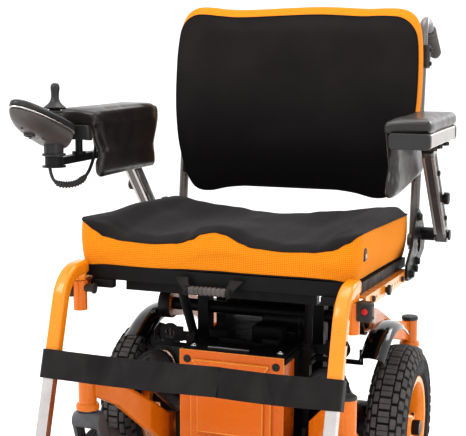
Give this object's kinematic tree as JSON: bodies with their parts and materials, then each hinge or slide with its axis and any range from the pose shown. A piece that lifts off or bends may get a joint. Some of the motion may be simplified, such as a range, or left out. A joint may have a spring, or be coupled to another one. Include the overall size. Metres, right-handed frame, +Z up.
{
  "type": "power wheelchair",
  "caption": "Mid-wheel-drive power wheelchair with contoured seat, tilting seat frame, flip-up armrests, joystick controller and swing-away legrests.",
  "frame": {"origin": "on the ground midway between the two drive wheels' contact points", "axes": "+X to the sitter's left, +Y to the rear, +Z up; the chair faces -Y"},
  "size_m": [0.826, 1.2456, 1.0891],
  "materials": {
    "frame_black": "satin black powder coat",
    "box_black": "matte black moulded box",
    "battery_grey": "grey battery case",
    "orange_paint": "glossy orange powder coat",
    "black_steel": "black oxide",
    "motor_black": "black cast housing",
    "gloss_black": "polished black moulding",
    "tyre_rubber": "moulded tread block tyre",
    "caster_rubber": "solid caster tyre",
    "fork_grey": "dark grey coat",
    "orange_mesh": "orange spacer mesh with black stretch top",
    "black_plastic": "matte black moulding",
    "chrome": "polished rod",
    "cane_grey": "dark grey tube",
    "black_fabric": "black stretch cover with orange border",
    "grip_rubber": "ribbed soft grip",
    "arm_aluminium": "satin anodised section",
    "black_vinyl": "black vinyl upholstery",
    "button_plastic": "moulded key",
    "cable_black": "black cable sheath",
    "silver_tube": "silver tube",
    "webbing": "black woven webbing"
  },
  "bodies": {
    "chassis": {"base_frame": "frame_black", "battery_box": "box_black", "batteries": "battery_grey", "battery_lid": "box_black", "front_shroud": "orange_paint", "shroud_screws": "black_steel", "drive_motors": "motor_black", "fenders": "gloss_black", "power_module": "motor_black"},
    "wheel_r": {"drive_tyre_r": "tyre_rubber", "drive_rim_r": "orange_paint"},
    "wheel_l": {"drive_tyre_l": "tyre_rubber", "drive_rim_l": "orange_paint"},
    "front_arm_r": {"front_arm_r": "orange_paint"},
    "front_fork_r": {"front_fork_r": "fork_grey"},
    "front_caster_r": {"front_caster_r": "caster_rubber"},
    "rear_arm_r": {"rear_arm_r": "orange_paint"},
    "rear_fork_r": {"rear_fork_r": "fork_grey"},
    "rear_caster_r": {"rear_caster_r": "caster_rubber"},
    "front_arm_l": {"front_arm_l": "orange_paint"},
    "front_fork_l": {"front_fork_l": "fork_grey"},
    "front_caster_l": {"front_caster_l": "caster_rubber"},
    "rear_arm_l": {"rear_arm_l": "orange_paint"},
    "rear_fork_l": {"rear_fork_l": "fork_grey"},
    "rear_caster_l": {"rear_caster_l": "caster_rubber"},
    "seat": {"seat_frame": "frame_black", "seat_rails": "orange_paint", "cushion": "orange_mesh", "cushion_handle": "black_plastic", "legrest_receivers": "orange_paint", "receiver_latches": "black_plastic", "back_brackets": "frame_black"},
    "tilt_motor": {"actuator_body": "motor_black"},
    "tilt_rod": {"actuator_rod": "chrome"},
    "back": {"back_canes": "cane_grey", "back_panel": "black_plastic", "back_cushion": "black_fabric", "push_grips": "grip_rubber"},
    "arm_r": {"arm_post_r": "arm_aluminium", "arm_rail_r": "arm_aluminium", "arm_pad_r": "black_vinyl", "controller_mount": "black_plastic", "joystick_cable": "cable_black", "cable_wrap": "cable_black"},
    "arm_l": {"arm_post_l": "arm_aluminium", "arm_rail_l": "arm_aluminium", "arm_pad_l": "black_vinyl"},
    "controller": {"controller_body": "black_plastic"},
    "gimbal": {"joystick_gimbal": "black_plastic"},
    "stick": {"joystick_stick": "grip_rubber"},
    "power_key": {"button_power": "button_plastic"},
    "horn_key": {"button_horn": "button_plastic"},
    "legrest_r": {"hanger_r": "orange_paint", "calf_strap_r": "webbing"},
    "leg_extension_r": {"leg_tube_r": "silver_tube"},
    "footboard_r": {"footplate_r": "black_plastic"},
    "legrest_l": {"hanger_l": "orange_paint", "calf_strap_l": "webbing"},
    "leg_extension_l": {"leg_tube_l": "silver_tube"},
    "footboard_l": {"footplate_l": "black_plastic"}
  },
  "joints": [
    {"name": "drive_spin_r", "type": "hinge", "parent": "chassis", "child": "wheel_r", "pos_m": [-0.3045, 0, 0.178], "axis": [1, 0, 0], "continuous": true},
    {"name": "front_suspension_r", "type": "hinge", "parent": "chassis", "child": "front_arm_r", "pos_m": [-0.17, -0.15, 0.175], "axis": [-1, 0, 0], "range_deg": [0, 8], "stiffness_Nm_per_rad": 1500, "springref_deg": -5.73},
    {"name": "front_swivel_r", "type": "hinge", "parent": "front_arm_r", "child": "front_fork_r", "pos_m": [-0.276, -0.351, 0.25], "axis": [0, 0, 1], "continuous": true},
    {"name": "front_roll_r", "type": "hinge", "parent": "front_fork_r", "child": "front_caster_r", "pos_m": [-0.276, -0.301, 0.1], "axis": [1, 0, 0], "continuous": true},
    {"name": "rear_suspension_r", "type": "hinge", "parent": "chassis", "child": "rear_arm_r", "pos_m": [-0.225, -0.04, 0.42], "axis": [1, 0, 0], "range_deg": [0, 5], "stiffness_Nm_per_rad": 2500, "springref_deg": -5.73},
    {"name": "rear_swivel_r", "type": "hinge", "parent": "rear_arm_r", "child": "rear_fork_r", "pos_m": [-0.257, 0.337, 0.265], "axis": [0, 0, 1], "continuous": true},
    {"name": "rear_roll_r", "type": "hinge", "parent": "rear_fork_r", "child": "rear_caster_r", "pos_m": [-0.257, 0.387, 0.1], "axis": [1, 0, 0], "continuous": true},
    {"name": "drive_spin_l", "type": "hinge", "parent": "chassis", "child": "wheel_l", "pos_m": [0.3045, 0, 0.178], "axis": [1, 0, 0], "continuous": true},
    {"name": "front_suspension_l", "type": "hinge", "parent": "chassis", "child": "front_arm_l", "pos_m": [0.17, -0.15, 0.175], "axis": [-1, 0, 0], "range_deg": [0, 8], "stiffness_Nm_per_rad": 1500, "springref_deg": -5.73},
    {"name": "front_swivel_l", "type": "hinge", "parent": "front_arm_l", "child": "front_fork_l", "pos_m": [0.276, -0.351, 0.25], "axis": [0, 0, 1], "continuous": true},
    {"name": "front_roll_l", "type": "hinge", "parent": "front_fork_l", "child": "front_caster_l", "pos_m": [0.276, -0.301, 0.1], "axis": [1, 0, 0], "continuous": true},
    {"name": "rear_suspension_l", "type": "hinge", "parent": "chassis", "child": "rear_arm_l", "pos_m": [0.225, -0.04, 0.42], "axis": [1, 0, 0], "range_deg": [0, 5], "stiffness_Nm_per_rad": 2500, "springref_deg": -5.73},
    {"name": "rear_swivel_l", "type": "hinge", "parent": "rear_arm_l", "child": "rear_fork_l", "pos_m": [0.257, 0.337, 0.265], "axis": [0, 0, 1], "continuous": true},
    {"name": "rear_roll_l", "type": "hinge", "parent": "rear_fork_l", "child": "rear_caster_l", "pos_m": [0.257, 0.387, 0.1], "axis": [1, 0, 0], "continuous": true},
    {"name": "seat_tilt", "type": "hinge", "parent": "chassis", "child": "seat", "pos_m": [0, 0.09, 0.45], "axis": [-1, 0, 0], "range_deg": [0, 25]},
    {"name": "actuator_swing", "type": "hinge", "parent": "chassis", "child": "tilt_motor", "pos_m": [-0.07, 0.05, 0.42], "axis": [-1, 0, 0], "range_deg": [0, 26.77]},
    {"name": "actuator_stroke", "type": "slide", "parent": "tilt_motor", "child": "tilt_rod", "axis": [0, -0.9216, 0.3881], "range_m": [0, 0.0209]},
    {"name": "back_recline", "type": "hinge", "parent": "seat", "child": "back", "pos_m": [0, 0.192, 0.56], "axis": [-1, 0, 0], "range_deg": [0, 30]},
    {"name": "arm_flip_r", "type": "hinge", "parent": "seat", "child": "arm_r", "pos_m": [-0.356, 0.182, 0.578], "axis": [-1, 0, 0], "range_deg": [0, 85]},
    {"name": "arm_flip_l", "type": "hinge", "parent": "seat", "child": "arm_l", "pos_m": [0.356, 0.182, 0.578], "axis": [-1, 0, 0], "range_deg": [0, 85]},
    {"name": "controller_swing", "type": "hinge", "parent": "arm_r", "child": "controller", "pos_m": [-0.372, -0.3, 0.78], "axis": [0, 0, -1], "range_deg": [0, 75]},
    {"name": "stick_fore_aft", "type": "hinge", "parent": "controller", "child": "gimbal", "pos_m": [-0.38, -0.279, 0.846], "axis": [1, 0, 0], "range_deg": [-18, 18], "stiffness_Nm_per_rad": 0.6},
    {"name": "stick_side", "type": "hinge", "parent": "gimbal", "child": "stick", "pos_m": [-0.38, -0.279, 0.846], "axis": [0, 1, 0], "range_deg": [-18, 18], "stiffness_Nm_per_rad": 0.6},
    {"name": "power_press", "type": "slide", "parent": "controller", "child": "power_key", "axis": [0, -0.342, -0.9397], "range_m": [0, 0.0015], "stiffness_N_per_m": 400},
    {"name": "horn_press", "type": "slide", "parent": "controller", "child": "horn_key", "axis": [0, -0.342, -0.9397], "range_m": [0, 0.0015], "stiffness_N_per_m": 400},
    {"name": "legrest_swing_r", "type": "hinge", "parent": "seat", "child": "legrest_r", "pos_m": [-0.285, -0.358, 0.5], "axis": [0, 0, -1], "range_deg": [0, 90]},
    {"name": "leg_length_r", "type": "slide", "parent": "legrest_r", "child": "leg_extension_r", "axis": [0, -0.3057, -0.9521], "range_m": [-0.025, 0.045]},
    {"name": "footplate_flip_r", "type": "hinge", "parent": "leg_extension_r", "child": "footboard_r", "pos_m": [-0.262, -0.61, 0.098], "axis": [0, -1, 0], "range_deg": [0, 90]},
    {"name": "legrest_swing_l", "type": "hinge", "parent": "seat", "child": "legrest_l", "pos_m": [0.285, -0.358, 0.5], "axis": [0, 0, 1], "range_deg": [0, 90]},
    {"name": "leg_length_l", "type": "slide", "parent": "legrest_l", "child": "leg_extension_l", "axis": [0, -0.3057, -0.9521], "range_m": [-0.025, 0.045]},
    {"name": "footplate_flip_l", "type": "hinge", "parent": "leg_extension_l", "child": "footboard_l", "pos_m": [0.262, -0.61, 0.098], "axis": [0, 1, 0], "range_deg": [0, 90]}
  ],
  "couplings": [
    {"joint": "actuator_swing", "follows": "seat_tilt", "ratio": 1.0668},
    {"joint": "actuator_stroke", "follows": "seat_tilt", "m_per_rad": 0.04745}
  ]
}
